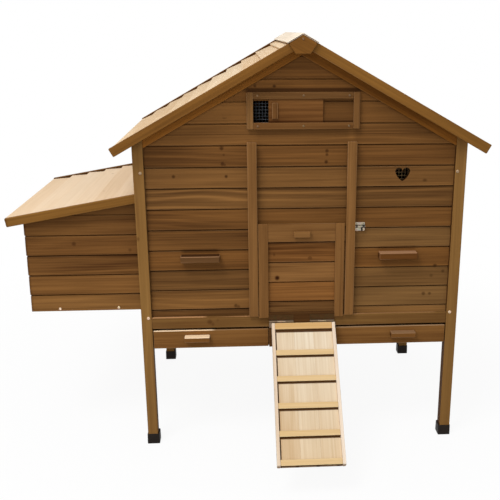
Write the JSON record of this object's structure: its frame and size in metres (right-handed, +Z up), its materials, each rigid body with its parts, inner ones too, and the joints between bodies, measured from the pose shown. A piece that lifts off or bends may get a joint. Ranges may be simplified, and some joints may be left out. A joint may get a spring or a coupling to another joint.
{
  "type": "raised chicken coop",
  "caption": "Gabled timber hen house on capped posts, with a lidded side nest box, lifting pop door, bolt, sliding vent, pull-out trays and a hinged cleated ramp.",
  "frame": {"origin": "on the ground at the middle of the whole coop's bounding box, ramp and nest box included", "axes": "+X to the right seen from the door side, +Y from the door side to the back, +Z up"},
  "size_m": [1.446, 1.1496, 1.2916],
  "materials": {
    "frame_wood": "stained softwood, satin",
    "wall_wood": "stained softwood, satin",
    "roof_wood": "stained softwood, satin",
    "door_wood": "stained softwood, satin",
    "base_wood": "stained softwood, satin",
    "tray_wood": "stained softwood, satin",
    "ramp_wood": "stained softwood, satin",
    "foot_plastic": "matte moulded plastic",
    "mesh_wire": "black coated wire",
    "zinc_steel": "zinc plated"
  },
  "bodies": {
    "house": {"front_left_post": "frame_wood", "back_left_post": "frame_wood", "front_right_post": "frame_wood", "back_right_post": "frame_wood", "foot_caps": "foot_plastic", "bottom_rails": "frame_wood", "front_wall_left_boards": "wall_wood", "front_wall_right_boards": "wall_wood", "front_wall_upper_boards": "wall_wood", "doorway_liners": "wall_wood", "heart_board": "wall_wood", "back_wall_boards": "wall_wood", "right_wall_boards": "wall_wood", "left_wall_boards": "wall_wood", "gable_rafters": "frame_wood", "left_roof_boards": "roof_wood", "right_roof_boards": "roof_wood", "barge_boards": "frame_wood", "ridge_cap": "frame_wood", "gable_finials": "frame_wood", "door_tracks": "door_wood", "bolt_plate": "zinc_steel", "wall_grips": "door_wood", "vent_frame": "door_wood", "wire_meshes": "mesh_wire", "nest_side_boards": "wall_wood", "nest_end_boards": "wall_wood", "nest_floor": "base_wood", "nest_divider": "base_wood", "nest_hinge_rail": "roof_wood", "centre_apron": "base_wood", "centre_partitions": "base_wood", "centre_floor_board": "base_wood", "tray_bay_boards": "base_wood", "tray_runners": "base_wood", "perches": "base_wood", "perch_bearers": "base_wood", "hinge_fixed_leaves": "zinc_steel", "hinge_pins": "zinc_steel", "screw_heads": "zinc_steel"},
    "pop_door": {"door_boards": "door_wood", "door_frame": "door_wood", "door_pull": "door_wood"},
    "door_bolt": {"bolt_rod": "zinc_steel"},
    "vent_slide": {"vent_panel": "door_wood", "vent_panel_grip": "door_wood"},
    "left_tray": {"left_tray_box": "tray_wood", "left_tray_front": "tray_wood", "left_tray_handle": "tray_wood"},
    "right_tray": {"right_tray_box": "tray_wood", "right_tray_front": "tray_wood", "right_tray_handle": "tray_wood"},
    "nest_lid": {"lid_boards": "roof_wood", "lid_rims": "roof_wood", "lid_hinge_leaves": "zinc_steel"},
    "ramp": {"ramp_deck_boards": "ramp_wood", "ramp_side_rails": "ramp_wood", "ramp_cleats": "ramp_wood", "ramp_hinge_leaves": "zinc_steel"}
  },
  "joints": [
    {"name": "pop_door_slide", "type": "slide", "parent": "house", "child": "pop_door", "axis": [0, 0, 1], "range_m": [0, 0.277]},
    {"name": "door_bolt_slide", "type": "slide", "parent": "house", "child": "door_bolt", "axis": [-1, 0, 0], "range_m": [0, 0.0109]},
    {"name": "vent_slide_run", "type": "slide", "parent": "house", "child": "vent_slide", "axis": [1, 0, 0], "range_m": [-0.0453, 0.0891]},
    {"name": "left_tray_slide", "type": "slide", "parent": "house", "child": "left_tray", "axis": [0, -1, 0], "range_m": [0, 0.45]},
    {"name": "right_tray_slide", "type": "slide", "parent": "house", "child": "right_tray", "axis": [0, -1, 0], "range_m": [0, 0.45]},
    {"name": "nest_lid_hinge", "type": "hinge", "parent": "house", "child": "nest_lid", "pos_m": [-0.3377, 0.14679, 0.82805], "axis": [0, 1, 0], "range_deg": [0, 76]},
    {"name": "ramp_hinge", "type": "hinge", "parent": "house", "child": "ramp", "pos_m": [0.168, -0.23691, 0.422], "axis": [-1, 0, 0], "range_deg": [0, 129]}
  ]
}
